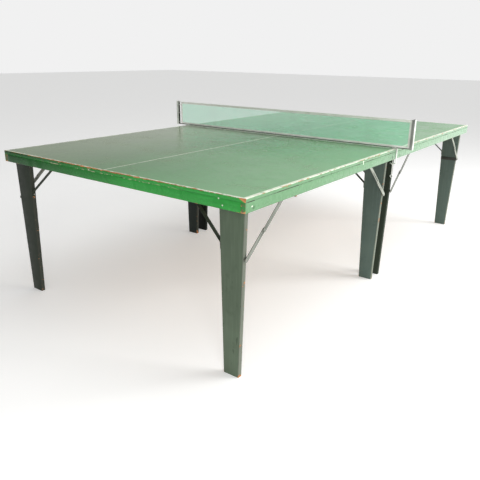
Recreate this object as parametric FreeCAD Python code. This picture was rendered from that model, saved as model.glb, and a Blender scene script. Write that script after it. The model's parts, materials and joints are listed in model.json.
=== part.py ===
import FreeCAD, Part
import math
import os

# Ping pong table in two halves, each on two folding pairs of tapered plank legs,
# with a clamped-on net.  +X runs across the width, +Y along the length, +Z up.
# The origin is on the floor under the middle of the table.  Millimetres.

# Playing surface
TABLE_LENGTH = 2740.0
TABLE_WIDTH = 1525.0
TABLE_HEIGHT = 760.0
SEAM_GAP = 1.0
BOARD_THICK = 15.0

# Rails under the board
RAIL_DEPTH = 40.0
RAIL_THICK = 22.0
BATTEN_DEPTH = 12.0
BATTEN_WIDE = 60.0
BATTEN_SPOTS = (440.0, 930.0)
EDGE_EASE = 1.5

# Legs
LEG_THICK = 22.0
LEG_TOP_WIDE = 120.0
LEG_FOOT_WIDE = 75.0
LEG_INSET = 29.3
LEG_HEAD = 20.0
LEG_EASE = 1.5
CROSS_RAIL_DROP = 18.0
HINGE_FROM_END = 48.0
HINGE_HEIGHT = 720.0

# Pivot bolts and their spacer washers
BOLT_RADIUS = 4.0
BOLT_HEAD_RADIUS = 8.0
BOLT_HEAD_DEEP = 4.0
BOLT_IN_LEG = 43.0
WASHER_RADIUS = 8.0
RUNNING_FIT = 0.05
FACE_GAP = 0.3

# Folding stays: two flat links on each leg, straight when the leg stands
STAY_WIDE = 18.0
STAY_THICK = 2.5
STAY_FOOT_DROP = 208.0
STAY_ANCHOR_RUN = 248.0
STAY_OUTER_X = 739.7
STAY_PIN_RADIUS = 3.0
STAY_HEAD_RADIUS = 5.0
ANCHOR_HEAD_RADIUS = 6.0
ANCHOR_IN_RAIL = 12.0
STUD_IN_LEG = 25.0
STUD_COLLAR_RADIUS = 6.0

# Straps round the far end legs at the foot of the stays
STRAP_TALL = 22.0
STRAP_THICK = 2.0

# Cross braces: flat steel from each leg up to the cross rail
BRACE_WIDE = 17.0
BRACE_THICK = 3.0
BRACE_FOOT_HEIGHT = 560.0
BRACE_TAB = 26.0
BRACE_BEND = 12.0
BRACE_TOP_HEIGHT = 690.0
BRACE_IN_RAIL = 15.0
BRACE_SCREW_RADIUS = 2.0
BRACE_SCREW_HEAD = 4.0

# Net frame
BAR_WIDE = 8.0
BAR_TALL = 5.0
BAR_LIFT = 3.6
POST_OUTER_X = 850.0
POST_DEEP = 16.0
POST_WIDE = 20.0
POST_WALL = 1.8
POST_BOTTOM = 762.0
POST_TOP = 920.0

# Net
NET_TOP = 914.0
NET_BOTTOM = 770.0
NET_THICK = 0.8
HEM_THICK = 2.0
TOP_TAPE_TALL = 10.0
BOTTOM_TAPE_TALL = 8.0
SIDE_TAPE_WIDE = 11.0
NET_LEFT = -813.0
NET_RIGHT = 831.0
NET_CORD_RADIUS = 1.8
TIE_RADIUS = 1.0
TIE_HEIGHTS = (779.0, 840.0, 898.0)

# Net clamps
CLAMP_WIDE = 14.0
CLAMP_THICK = 3.0
CLAMP_BEND = 2.5
CLAMP_JAW_REACH = 28.0
CLAMP_ARM_REACH = 31.0
CLAMP_BOTTOM = 677.5
CHEEK_THICK = 2.5
CHEEK_TALL = 4.7
BOSS_RADIUS = 6.5
BOSS_TALL = 6.0
SCREW_X = 748.0
SCREW_RADIUS = 2.5
EYE_HEIGHT = 609.0
EYE_RADIUS = 6.5
EYE_WIRE_RADIUS = 2.0
PAD_RADIUS = 8.0
PAD_THICK = 3.5
PAD_NECK_RADIUS = 5.0
PAD_NECK_TALL = 4.2
PAD_SOCKET_DEEP = 5.5

# Each leg frame: its name, the hinge line's y, the way it folds, and how far
# the left and the right brace reach inward at the height of the rail.
END_HINGE = TABLE_LENGTH / 2 - HINGE_FROM_END
SEAM_HINGE = SEAM_GAP / 2 + HINGE_FROM_END
FRAMES = (
    ("near_end", -END_HINGE, 1, 172.0, 118.0),
    ("near_seam", -SEAM_HINGE, -1, 150.0, 158.0),
    ("far_seam", SEAM_HINGE, 1, 158.0, 150.0),
    ("far_end", END_HINGE, -1, 150.0, 158.0),
)

HALF_WIDTH = TABLE_WIDTH / 2
BOARD_BOTTOM = TABLE_HEIGHT - BOARD_THICK
RAIL_BOTTOM = BOARD_BOTTOM - RAIL_DEPTH
RAIL_INNER_X = HALF_WIDTH - RAIL_THICK
LEG_OUTER_X = HALF_WIDTH - LEG_INSET
LEG_CENTRE_X = LEG_OUTER_X - LEG_TOP_WIDE / 2
LEG_TOP = HINGE_HEIGHT + LEG_HEAD
STAY_FOOT_HEIGHT = HINGE_HEIGHT - STAY_FOOT_DROP
STAY_SPAN = math.hypot(STAY_ANCHOR_RUN, STAY_FOOT_DROP)
UPPER_STAY = (STAY_SPAN + STAY_ANCHOR_RUN - STAY_FOOT_DROP) / 2
UPPER_STAY_X = STAY_OUTER_X - STAY_THICK
LOWER_STAY_OUTER_X = UPPER_STAY_X - FACE_GAP
LOWER_STAY_X = LOWER_STAY_OUTER_X - STAY_THICK
POST_INNER_X = POST_OUTER_X - POST_DEEP
WEB_X = POST_OUTER_X - POST_WALL
BAR_BOTTOM = TABLE_HEIGHT + BAR_LIFT
CLAMP_INNER_X = HALF_WIDTH + 0.5
CLAMP_JAW_Z = TABLE_HEIGHT + FACE_GAP
PAD_TOP = RAIL_BOTTOM - FACE_GAP
PAD_BOTTOM = PAD_TOP - PAD_THICK - PAD_NECK_TALL


def vec(x, y, z):
    return FreeCAD.Vector(x, y, z)


def block(x_low, x_high, y_low, y_high, z_low, z_high):
    return Part.makeBox(x_high - x_low, y_high - y_low, z_high - z_low, vec(x_low, y_low, z_low))


def rod(start, end, radius):
    """A round bar from one point to another."""
    along = end - start
    return Part.makeCylinder(radius, along.Length, start, along)


def cross_rod(x_low, x_high, y, z, radius):
    """A round bar along X."""
    return rod(vec(x_low, y, z), vec(x_high, y, z), radius)


def tube(x_low, x_high, y, z, outer, inner):
    """A ring along X."""
    return cross_rod(x_low, x_high, y, z, outer).cut(cross_rod(x_low, x_high, y, z, inner))


def prism(points, y_low, y_high):
    """A flat outline of (x, z) points, carried from y_low to y_high."""
    corners = [vec(x, y_low, z) for x, z in points]
    face = Part.Face(Part.makePolygon(corners + corners[:1]))
    return face.extrude(vec(0, y_high - y_low, 0))


def offset_line(points, distance):
    """The open line of (x, z) points moved sideways, with mitred corners."""
    sides = []
    for (x0, z0), (x1, z1) in zip(points, points[1:]):
        length = math.hypot(x1 - x0, z1 - z0)
        sides.append(((z0 - z1) / length, (x1 - x0) / length))
    moved = []
    for index, (x, z) in enumerate(points):
        before = sides[max(index - 1, 0)]
        after = sides[min(index, len(sides) - 1)]
        spread = 1 + before[0] * after[0] + before[1] * after[1]
        moved.append((x + distance * (before[0] + after[0]) / spread,
                      z + distance * (before[1] + after[1]) / spread))
    return moved


def rounded_edges(points, radii, y):
    """Lines through the (x, z) points, with an arc of its own radius at each bend."""
    spots = [vec(x, y, z) for x, z in points]
    edges = []
    start = spots[0]
    for before, here, after, radius in zip(spots, spots[1:], spots[2:], radii):
        back = (before - here).normalize()
        ahead = (after - here).normalize()
        half = back.getAngle(ahead) / 2
        reach = radius / math.tan(half)
        middle = (back + ahead).normalize() * (radius / math.sin(half) - radius)
        edges.append(Part.makeLine(start, here + back * reach))
        edges.append(Part.Arc(here + back * reach, here + middle, here + ahead * reach).toShape())
        start = here + ahead * reach
    edges.append(Part.makeLine(start, spots[-1]))
    return edges


def bent_strap(points, thickness, bend, y_low, y_high):
    """Flat bar whose middle follows the (x, z) points, with rounded bends."""
    turns = []
    for (x0, z0), (x1, z1), (x2, z2) in zip(points, points[1:], points[2:]):
        turns.append(math.copysign(1, (x1 - x0) * (z2 - z1) - (z1 - z0) * (x2 - x1)))
    half = thickness / 2
    left = offset_line(points, half)
    right = offset_line(points, -half)
    edges = rounded_edges(left, [bend - turn * half for turn in turns], y_low)
    other = rounded_edges(right, [bend + turn * half for turn in turns], y_low)
    ends = [Part.makeLine(vec(a[0], y_low, a[1]), vec(b[0], y_low, b[1]))
            for a, b in ((left[0], right[0]), (left[-1], right[-1]))]
    outline = Part.Wire(Part.__sortEdges__(edges + other + ends))
    return Part.Face(outline).extrude(vec(0, y_high - y_low, 0))


def ease(shape, radius, wanted):
    """Round the edges whose middle point passes the test."""
    edges = [edge for edge in shape.Edges if wanted(edge, edge.CenterOfMass)]
    return shape.makeFillet(radius, edges)


def both_sides(shape):
    """A right-hand piece and its mirror image on the left."""
    return [mirrored(shape), shape]


def mirrored(shape):
    return shape.mirror(vec(0, 0, 0), vec(1, 0, 0))


def leg_edge(height, side=1):
    """X of the leg's outer (side 1) or inner (side -1) narrow edge at a height."""
    rise = min(height / RAIL_BOTTOM, 1.0)
    return LEG_CENTRE_X + side * (LEG_FOOT_WIDE + (LEG_TOP_WIDE - LEG_FOOT_WIDE) * rise) / 2


# ---- the two halves of the playing surface ----

def half_board(y_low, y_high):
    board = block(-HALF_WIDTH, HALF_WIDTH, y_low, y_high, BOARD_BOTTOM, TABLE_HEIGHT)
    return ease(board, EDGE_EASE, lambda edge, middle: middle.z > TABLE_HEIGHT - 0.1)


def side_rail(y_low, y_high, hinges):
    """The right-hand rail, bored for the pivot bolts and the stay anchors."""
    rail = block(RAIL_INNER_X, HALF_WIDTH, y_low, y_high, RAIL_BOTTOM, BOARD_BOTTOM)
    rail = ease(rail, EDGE_EASE, lambda edge, middle: middle.z < RAIL_BOTTOM + 0.1)
    for hinge_y, inward in hinges:
        rail = rail.cut(pivot_bolt(hinge_y)).cut(anchor_screw(hinge_y, inward))
    return rail


def pivot_bolt(hinge_y):
    """Countersunk bolt through the side rail into the head of the leg."""
    shank = cross_rod(LEG_OUTER_X - BOLT_IN_LEG, HALF_WIDTH - 1, hinge_y, HINGE_HEIGHT, BOLT_RADIUS)
    head = Part.makeCone(BOLT_HEAD_RADIUS, BOLT_RADIUS, BOLT_HEAD_DEEP,
                         vec(HALF_WIDTH, hinge_y, HINGE_HEIGHT), vec(-1, 0, 0))
    return shank.fuse(head).removeSplitter()


def spacer_washer(hinge_y):
    return tube(LEG_OUTER_X + FACE_GAP, RAIL_INNER_X, hinge_y, HINGE_HEIGHT, WASHER_RADIUS, BOLT_RADIUS)


def anchor_screw(hinge_y, inward):
    """Screw in the side rail that the upper link turns on."""
    anchor_y = hinge_y + inward * STAY_ANCHOR_RUN
    shank = cross_rod(LOWER_STAY_OUTER_X - 1, RAIL_INNER_X + ANCHOR_IN_RAIL, anchor_y, HINGE_HEIGHT,
                      STAY_PIN_RADIUS)
    head = cross_rod(LOWER_STAY_OUTER_X - 1.6, LOWER_STAY_OUTER_X, anchor_y, HINGE_HEIGHT,
                     ANCHOR_HEAD_RADIUS)
    return shank.fuse(head).removeSplitter()


def half_table(name, y_low, y_high, frames):
    """One half: its board, four rails, battens, pivot bolts and stay anchors."""
    hinges = [(hinge_y, inward) for _, hinge_y, inward, _, _ in frames]
    seam_y = y_high if name == "near" else y_low
    end_y = y_low if name == "near" else y_high
    into = 1 if name == "near" else -1
    right_rail = side_rail(y_low, y_high, hinges)
    bolts = []
    anchors = []
    for hinge_y, inward in hinges:
        bolts += both_sides(pivot_bolt(hinge_y)) + both_sides(spacer_washer(hinge_y))
        anchors += both_sides(anchor_screw(hinge_y, inward))
    battens = []
    for spot in BATTEN_SPOTS:
        battens.append(block(-RAIL_INNER_X, RAIL_INNER_X, -into * spot - BATTEN_WIDE / 2,
                             -into * spot + BATTEN_WIDE / 2, BOARD_BOTTOM - BATTEN_DEPTH, BOARD_BOTTOM))
    end_far_y = end_y + into * RAIL_THICK
    seam_far_y = seam_y - into * RAIL_THICK
    end_rail = block(-RAIL_INNER_X, RAIL_INNER_X, min(end_y, end_far_y), max(end_y, end_far_y),
                     RAIL_BOTTOM, BOARD_BOTTOM)
    seam_rail = block(-RAIL_INNER_X, RAIL_INNER_X, min(seam_y, seam_far_y), max(seam_y, seam_far_y),
                      RAIL_BOTTOM, BOARD_BOTTOM)
    end_rail = ease(end_rail, EDGE_EASE,
                    lambda edge, middle: middle.z < RAIL_BOTTOM + 0.1 and abs(middle.x) < 1)
    return {
        name + "_top_board": [half_board(y_low, y_high)],
        name + "_left_side_rail": [mirrored(right_rail)],
        name + "_right_side_rail": [right_rail],
        name + "_end_rail": [end_rail],
        name + "_seam_rail": [seam_rail],
        name + "_battens": battens,
        name + "_pivot_bolts": bolts,
        name + "_stay_anchors": anchors,
    }


# ---- the folding leg frames ----

def brace(hinge_y, reach):
    """Bent flat steel from the leg's inner edge into the underside of the cross rail."""
    half = BRACE_THICK / 2
    foot_x = leg_edge(BRACE_FOOT_HEIGHT, -1) - half
    tab_x = leg_edge(BRACE_FOOT_HEIGHT - BRACE_TAB, -1) - half
    top_x = foot_x - reach
    path = [(tab_x, BRACE_FOOT_HEIGHT - BRACE_TAB), (foot_x, BRACE_FOOT_HEIGHT),
            (top_x, BRACE_TOP_HEIGHT), (top_x, HINGE_HEIGHT - CROSS_RAIL_DROP + BRACE_IN_RAIL)]
    return bent_strap(path, BRACE_THICK, BRACE_BEND, hinge_y - BRACE_WIDE / 2, hinge_y + BRACE_WIDE / 2)


def brace_screw(hinge_y):
    """Screw that holds the brace's tab to the leg."""
    height = BRACE_FOOT_HEIGHT - BRACE_TAB * 0.6
    face_x = leg_edge(height, -1) - BRACE_THICK - 0.3
    head = cross_rod(face_x - 1.5, face_x, hinge_y, height, BRACE_SCREW_HEAD)
    shank = cross_rod(face_x - 1, face_x + STUD_IN_LEG, hinge_y, height, BRACE_SCREW_RADIUS)
    return head.fuse(shank).removeSplitter()


def foot_stud(hinge_y, strapped):
    """Stud in the leg's outer edge that the lower link turns on, with a spacer collar."""
    edge_x = leg_edge(STAY_FOOT_HEIGHT + STUD_COLLAR_RADIUS)
    collar_x = edge_x + (STRAP_THICK + 0.1 if strapped else 0)
    shank = cross_rod(edge_x - STUD_IN_LEG, LOWER_STAY_OUTER_X - 0.5, hinge_y, STAY_FOOT_HEIGHT,
                      STAY_PIN_RADIUS)
    collar = cross_rod(collar_x, LOWER_STAY_X - FACE_GAP, hinge_y, STAY_FOOT_HEIGHT, STUD_COLLAR_RADIUS)
    head = cross_rod(LOWER_STAY_OUTER_X - 1, LOWER_STAY_OUTER_X, hinge_y, STAY_FOOT_HEIGHT,
                     STAY_HEAD_RADIUS)
    return shank.fuse([collar, head]).removeSplitter()


def leg_strap(hinge_y, inward):
    """Steel strap across the leg's inner face and round its outer edge."""
    low = STAY_FOOT_HEIGHT - STRAP_TALL / 2
    high = STAY_FOOT_HEIGHT + STRAP_TALL / 2
    face_y = hinge_y + inward * LEG_THICK / 2
    across = prism([(leg_edge(low, -1), low), (leg_edge(low) + STRAP_THICK, low),
                    (leg_edge(high) + STRAP_THICK, high), (leg_edge(high, -1), high)],
                   min(face_y, face_y + inward * STRAP_THICK), max(face_y, face_y + inward * STRAP_THICK))
    around = prism([(leg_edge(low), low), (leg_edge(low) + STRAP_THICK, low),
                    (leg_edge(high) + STRAP_THICK, high), (leg_edge(high), high)],
                   hinge_y - LEG_THICK / 2, hinge_y + LEG_THICK / 2)
    return across.fuse(around).removeSplitter()


def leg(hinge_y, stud):
    """The right-hand tapered plank."""
    low_y = hinge_y - LEG_THICK / 2
    plank = prism([(leg_edge(0, -1), 0), (leg_edge(0), 0), (LEG_OUTER_X, RAIL_BOTTOM),
                   (LEG_OUTER_X, LEG_TOP), (LEG_OUTER_X - LEG_TOP_WIDE, LEG_TOP),
                   (LEG_OUTER_X - LEG_TOP_WIDE, RAIL_BOTTOM)], low_y, low_y + LEG_THICK)
    plank = ease(plank, LEG_EASE,
                 lambda edge, middle: abs(middle.y - hinge_y) > 1 and 1 < middle.z < RAIL_BOTTOM)
    bore = cross_rod(LEG_OUTER_X - BOLT_IN_LEG - 2, LEG_OUTER_X + 1, hinge_y, HINGE_HEIGHT,
                     BOLT_RADIUS + RUNNING_FIT)
    return plank.cut(bore).cut(stud).cut(brace_screw(hinge_y))


def leg_frame(name, hinge_y, inward, left_reach, right_reach):
    """Two legs, the cross rail between their heads, the braces and the stays' studs."""
    strapped = name == "far_end"
    stud = foot_stud(hinge_y, strapped)
    right_leg = leg(hinge_y, stud)
    right_brace = brace(hinge_y, right_reach)
    left_brace = mirrored(brace(hinge_y, left_reach))
    rail_end = LEG_OUTER_X - LEG_TOP_WIDE
    rail = block(-rail_end, rail_end, hinge_y - LEG_THICK / 2, hinge_y + LEG_THICK / 2,
                 HINGE_HEIGHT - CROSS_RAIL_DROP, LEG_TOP)
    rail = rail.cut(right_brace).cut(left_brace)
    nodes = {
        name + "_left_leg": [mirrored(right_leg)],
        name + "_right_leg": [right_leg],
        name + "_cross_rail": [rail],
        name + "_braces": [left_brace.cut(mirrored(brace_screw(hinge_y))),
                           right_brace.cut(brace_screw(hinge_y))],
        name + "_fixings": both_sides(stud) + both_sides(brace_screw(hinge_y)),
    }
    if strapped:
        nodes[name + "_leg_straps"] = both_sides(leg_strap(hinge_y, inward).cut(stud))
    return nodes


# ---- the folding stays ----

def link(x_low, start, end):
    """A flat link with round ends between two (y, z) pivots."""
    half = STAY_WIDE / 2
    along = vec(0, end[0] - start[0], end[1] - start[1]).normalize()
    side = vec(0, -along.z, along.y) * half
    near = vec(x_low, start[0], start[1])
    far = vec(x_low, end[0], end[1])
    edges = [Part.makeLine(near + side, far + side),
             Part.Arc(far + side, far + along * half, far - side).toShape(),
             Part.makeLine(far - side, near - side),
             Part.Arc(near - side, near - along * half, near + side).toShape()]
    return Part.Face(Part.Wire(edges)).extrude(vec(STAY_THICK, 0, 0))


def stays(name, hinge_y, inward):
    """The upper and the lower links, with the two halves of the rivet where they meet."""
    anchor = (hinge_y + inward * STAY_ANCHOR_RUN, HINGE_HEIGHT)
    foot = (hinge_y, STAY_FOOT_HEIGHT)
    share = UPPER_STAY / STAY_SPAN
    knee = (anchor[0] + share * (foot[0] - anchor[0]), anchor[1] + share * (foot[1] - anchor[1]))
    upper = link(UPPER_STAY_X, anchor, knee)
    upper = upper.cut(cross_rod(UPPER_STAY_X - 1, STAY_OUTER_X + 1, *anchor, STAY_PIN_RADIUS + RUNNING_FIT))
    upper_rivet = cross_rod(UPPER_STAY_X, STAY_OUTER_X, *knee, STAY_PIN_RADIUS)
    upper_rivet = upper_rivet.fuse(cross_rod(STAY_OUTER_X, STAY_OUTER_X + 0.4, *knee, STAY_HEAD_RADIUS))
    lower = link(LOWER_STAY_X, knee, foot)
    lower = lower.cut(cross_rod(LOWER_STAY_X - 1, LOWER_STAY_OUTER_X, *foot, STAY_PIN_RADIUS + RUNNING_FIT))
    lower = lower.cut(cross_rod(LOWER_STAY_OUTER_X - 1.3, LOWER_STAY_OUTER_X + 1, *foot,
                                STAY_HEAD_RADIUS + FACE_GAP))
    lower_rivet = cross_rod(LOWER_STAY_X, LOWER_STAY_OUTER_X, *knee, STAY_PIN_RADIUS)
    lower_rivet = lower_rivet.fuse(cross_rod(LOWER_STAY_X - 0.7, LOWER_STAY_X, *knee, STAY_HEAD_RADIUS))
    return {
        name + "_upper_stays": both_sides(upper.cut(upper_rivet)) + both_sides(upper_rivet.removeSplitter()),
        name + "_lower_stays": both_sides(lower.cut(lower_rivet)) + both_sides(lower_rivet.removeSplitter()),
    }


# ---- the net and its frame ----

def post():
    """Right-hand steel channel, open towards the net."""
    outside = block(POST_INNER_X, POST_OUTER_X, -POST_WIDE / 2, POST_WIDE / 2, POST_BOTTOM, POST_TOP)
    inside = block(POST_INNER_X - 1, WEB_X, POST_WALL - POST_WIDE / 2, POST_WIDE / 2 - POST_WALL,
                   POST_BOTTOM - 1, POST_TOP + 1)
    return outside.cut(inside)


def tape(x_low, x_high, z_low, z_high, thickness):
    return block(x_low, x_high, -thickness / 2, thickness / 2, z_low, z_high)


def net():
    mesh_left = NET_LEFT + SIDE_TAPE_WIDE
    mesh_right = NET_RIGHT - SIDE_TAPE_WIDE
    mesh_top = NET_TOP - TOP_TAPE_TALL
    mesh_bottom = NET_BOTTOM + BOTTOM_TAPE_TALL
    ties = []
    for height in TIE_HEIGHTS:
        ties.append(cross_rod(-WEB_X, NET_LEFT, 0, height, TIE_RADIUS))
        ties.append(cross_rod(NET_RIGHT, WEB_X, 0, height, TIE_RADIUS))
    cord_height = NET_TOP + NET_CORD_RADIUS
    return {
        "net_bar": [block(-WEB_X, WEB_X, -BAR_WIDE / 2, BAR_WIDE / 2, BAR_BOTTOM, BAR_BOTTOM + BAR_TALL)],
        "left_post": [mirrored(post())],
        "right_post": [post()],
        "net_mesh": [tape(mesh_left, mesh_right, mesh_bottom, mesh_top, NET_THICK)],
        "net_top_tape": [tape(NET_LEFT, NET_RIGHT, mesh_top, NET_TOP, HEM_THICK)],
        "net_edge_tapes": [tape(NET_LEFT, mesh_left, NET_BOTTOM, mesh_top, HEM_THICK),
                           tape(mesh_left, mesh_right, NET_BOTTOM, mesh_bottom, HEM_THICK),
                           tape(mesh_right, NET_RIGHT, NET_BOTTOM, mesh_top, HEM_THICK)],
        "net_top_cord": [cross_rod(-WEB_X, WEB_X, 0, cord_height, NET_CORD_RADIUS)],
        "net_ties": ties,
    }


def clamp():
    """Right-hand C clamp: a jaw under the bar, a strip down the edge and a bored arm."""
    half = CLAMP_THICK / 2
    strip_x = CLAMP_INNER_X + half
    jaw_z = CLAMP_JAW_Z + half
    arm_z = CLAMP_BOTTOM + half
    path = [(strip_x - CLAMP_JAW_REACH, jaw_z), (strip_x, jaw_z), (strip_x, arm_z),
            (strip_x - CLAMP_ARM_REACH, arm_z)]
    body = bent_strap(path, CLAMP_THICK, CLAMP_BEND, -CLAMP_WIDE / 2, CLAMP_WIDE / 2)
    cheek_y = BAR_WIDE / 2 + FACE_GAP
    jaw_top = CLAMP_JAW_Z + CLAMP_THICK
    for low_y in (cheek_y, -cheek_y - CHEEK_THICK):
        cheek = block(strip_x - CLAMP_JAW_REACH, strip_x - CLAMP_BEND, low_y, low_y + CHEEK_THICK,
                      jaw_top - 1, jaw_top + CHEEK_TALL)
        body = body.fuse(cheek)
    boss = rod(vec(SCREW_X, 0, CLAMP_BOTTOM - BOSS_TALL), vec(SCREW_X, 0, CLAMP_BOTTOM + 1), BOSS_RADIUS)
    bore = rod(vec(SCREW_X, 0, CLAMP_BOTTOM - BOSS_TALL - 1),
               vec(SCREW_X, 0, CLAMP_BOTTOM + CLAMP_THICK + 1), SCREW_RADIUS + RUNNING_FIT)
    return body.fuse(boss).removeSplitter().cut(bore)


def clamp_pad():
    """Pad that the screw presses up under the side rail."""
    disc = rod(vec(SCREW_X, 0, PAD_TOP - PAD_THICK), vec(SCREW_X, 0, PAD_TOP), PAD_RADIUS)
    neck = rod(vec(SCREW_X, 0, PAD_BOTTOM), vec(SCREW_X, 0, PAD_TOP - 1), PAD_NECK_RADIUS)
    socket = rod(vec(SCREW_X, 0, PAD_BOTTOM - 1), vec(SCREW_X, 0, PAD_BOTTOM + PAD_SOCKET_DEEP),
                 SCREW_RADIUS + RUNNING_FIT)
    return disc.fuse(neck).removeSplitter().cut(socket)


def eye_screw():
    """Thumb screw with a ring for the finger."""
    ring = Part.makeTorus(EYE_RADIUS, EYE_WIRE_RADIUS, vec(SCREW_X, 0, EYE_HEIGHT), vec(0, 1, 0))
    shank = rod(vec(SCREW_X, 0, EYE_HEIGHT + EYE_RADIUS),
                vec(SCREW_X, 0, PAD_BOTTOM + PAD_SOCKET_DEEP - FACE_GAP), SCREW_RADIUS)
    return ring.fuse(shank).removeSplitter()


def clamps():
    nodes = {}
    for name, maker in (("clamp", clamp), ("clamp_pad", clamp_pad), ("eye_screw", eye_screw)):
        shape = maker()
        nodes["right_" + name] = [shape]
        nodes["left_" + name] = [mirrored(shape)]
    return nodes


# ---- the whole table ----

def all_nodes():
    half_length = TABLE_LENGTH / 2
    half_gap = SEAM_GAP / 2
    nodes = {}
    nodes.update(half_table("near", -half_length, -half_gap, FRAMES[:2]))
    nodes.update(half_table("far", half_gap, half_length, FRAMES[2:]))
    for name, hinge_y, inward, left_reach, right_reach in FRAMES:
        nodes.update(leg_frame(name, hinge_y, inward, left_reach, right_reach))
        nodes.update(stays(name, hinge_y, inward))
    nodes.update(net())
    nodes.update(clamps())
    return nodes


def main():
    os.makedirs("parts", exist_ok=True)
    nodes = all_nodes()
    for name, solids in nodes.items():
        shape = solids[0] if len(solids) == 1 else Part.makeCompound(solids)
        if not shape.isValid() or shape.Volume <= 0:
            raise ValueError("bad shape: " + name)
        shape.exportStep(os.path.join("parts", name + ".step"))
    print(len(nodes), "nodes")


main()
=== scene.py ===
"""A worn green ping pong table in two halves, on folding plank legs, with its net clamped on."""

import json
import math
from functools import partialmethod

import bmesh
import bpy
from bpy.props import FloatProperty, FloatVectorProperty, IntProperty, PointerProperty
from bpy.types import Operator, Panel, PropertyGroup
from mathutils import Matrix, Vector

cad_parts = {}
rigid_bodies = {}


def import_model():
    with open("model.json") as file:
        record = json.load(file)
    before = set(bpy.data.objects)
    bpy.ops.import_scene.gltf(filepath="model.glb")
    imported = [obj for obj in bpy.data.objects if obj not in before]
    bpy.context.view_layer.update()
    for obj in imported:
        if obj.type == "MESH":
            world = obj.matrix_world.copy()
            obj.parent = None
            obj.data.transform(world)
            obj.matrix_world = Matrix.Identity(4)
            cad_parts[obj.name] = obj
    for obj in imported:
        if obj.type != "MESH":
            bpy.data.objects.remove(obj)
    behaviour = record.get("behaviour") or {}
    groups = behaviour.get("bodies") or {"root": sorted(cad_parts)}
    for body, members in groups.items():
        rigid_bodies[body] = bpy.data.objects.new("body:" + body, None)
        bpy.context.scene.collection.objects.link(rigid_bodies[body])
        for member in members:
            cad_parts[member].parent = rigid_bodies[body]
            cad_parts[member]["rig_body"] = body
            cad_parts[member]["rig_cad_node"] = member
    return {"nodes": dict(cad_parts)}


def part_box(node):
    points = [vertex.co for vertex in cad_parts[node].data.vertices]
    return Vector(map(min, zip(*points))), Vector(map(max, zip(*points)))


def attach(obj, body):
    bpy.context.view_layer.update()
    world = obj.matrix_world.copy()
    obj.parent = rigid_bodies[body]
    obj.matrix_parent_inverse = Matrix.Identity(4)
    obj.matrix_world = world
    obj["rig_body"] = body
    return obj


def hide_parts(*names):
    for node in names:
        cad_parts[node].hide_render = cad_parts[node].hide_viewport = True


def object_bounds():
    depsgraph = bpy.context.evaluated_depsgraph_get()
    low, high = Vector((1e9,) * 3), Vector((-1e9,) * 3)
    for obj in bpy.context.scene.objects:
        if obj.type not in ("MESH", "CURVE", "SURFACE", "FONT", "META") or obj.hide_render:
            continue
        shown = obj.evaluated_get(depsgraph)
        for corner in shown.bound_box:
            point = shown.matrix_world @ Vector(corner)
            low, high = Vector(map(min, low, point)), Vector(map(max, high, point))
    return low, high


bl_info = {
    "name": "Folding Ping Pong Table",
    "version": (1, 0, 0),
    "blender": (4, 5, 0),
    "location": "View3D > Sidebar > Ping Pong",
    "description": "Builds the looks of a worn two-part ping pong table round its fixed frame",
    "category": "Add Mesh",
}

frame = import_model()
CAD_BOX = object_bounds()
TABLE_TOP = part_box("near_top_board")[1].z
RAIL_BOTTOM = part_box("near_end_rail")[0].z
HALF_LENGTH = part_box("far_top_board")[1].y
HALF_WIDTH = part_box("far_top_board")[1].x
HALVES = ("near", "far")
FRAMES = ("near_end", "near_seam", "far_seam", "far_end")
SIDES = ("left", "right")


def tint(red, green, blue):
    """Linear colour from its everyday 0 to 255 values."""
    return tuple(((value / 255 + 0.055) / 1.055) ** 2.4 for value in (red, green, blue))


def colour(name, description, *values):
    """A colour that a user may change."""
    return FloatVectorProperty(name=name, description=description, default=tint(*values),
                               subtype="COLOR", min=0, max=1)


def length(name, description, metres):
    """A length that a user may change."""
    return FloatProperty(name=name, description=description, default=metres, min=0,
                         subtype="DISTANCE", unit="LENGTH", precision=4)


# ---- what a user may change ----

class PaintColours(PropertyGroup):
    """Colours of the table's paints, wood, steel and cotton."""

    playing_green: colour("Playing green", "Green of the playing surface", 76, 134, 78)
    line_white: colour("Line white", "White of the painted lines", 232, 240, 218)
    apron_green: colour("Apron green", "Bright gloss green round the edge", 54, 156, 68)
    # The pale green of the right side is a painted sheen, the gloss's reflection of a bright window, not a
    # bleached paint.
    sheen_green: colour("Chalky green", "Green of the side bleached by the sun", 102, 141, 104)
    leg_green: colour("Leg green", "Dark grey green of the legs", 90, 104, 86)
    bare_wood: colour("Bare wood", "Wood where the paint is gone", 205, 138, 88)
    raw_wood: colour("Raw wood", "Unpainted wood under the table", 176, 140, 98)
    stay_grey: colour("Stay grey", "Grey paint on the folding stays", 150, 154, 142)
    brace_green: colour("Brace green", "Dark green paint on the bent braces", 50, 58, 46)
    bolt_steel: colour("Bolt steel", "Dull steel of bolts and screws", 150, 150, 142)
    post_white: colour("Post white", "Old enamel on the net's posts and bar", 214, 218, 210)
    net_green: colour("Net green", "Dyed cotton of the net", 150, 238, 200)
    tape_white: colour("Tape white", "Cotton tape, cord and ties", 246, 248, 240)


class TableSizes(PropertyGroup):
    """Sizes of the painted lines and of the wood's edges."""

    line_width: length("Side line", "Width of the white lines along the sides", 0.017)
    end_width: length("End line", "Width of the white lines across the ends", 0.012)
    centre_width: length("Centre line", "Width of the white line down the middle", 0.005)
    edge_ease: length("Eased edge", "Rounding of the boards' and rails' edges", 0.0015)
    leg_ease: length("Leg edge", "Rounding of the legs' edges", 0.0025)
    foot_width: length("Foot width", "Width of a leg at the floor", 0.075)
    nail_gap: length("Nail gap", "Distance between the nails along the rails", 0.19)


class NetSizes(PropertyGroup):
    """Sizes of the net and of its steel frame."""

    pitch: length("Mesh", "Distance between the net's threads", 0.004)
    thread: length("Thread", "Radius of a thread", 0.00048)
    wall: length("Post wall", "Thickness of the posts' steel", 0.0018)
    cord_strands: IntProperty(name="Cord strands", description="Strands laid up in the top cord",
                              default=3, min=2, max=6)


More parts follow.
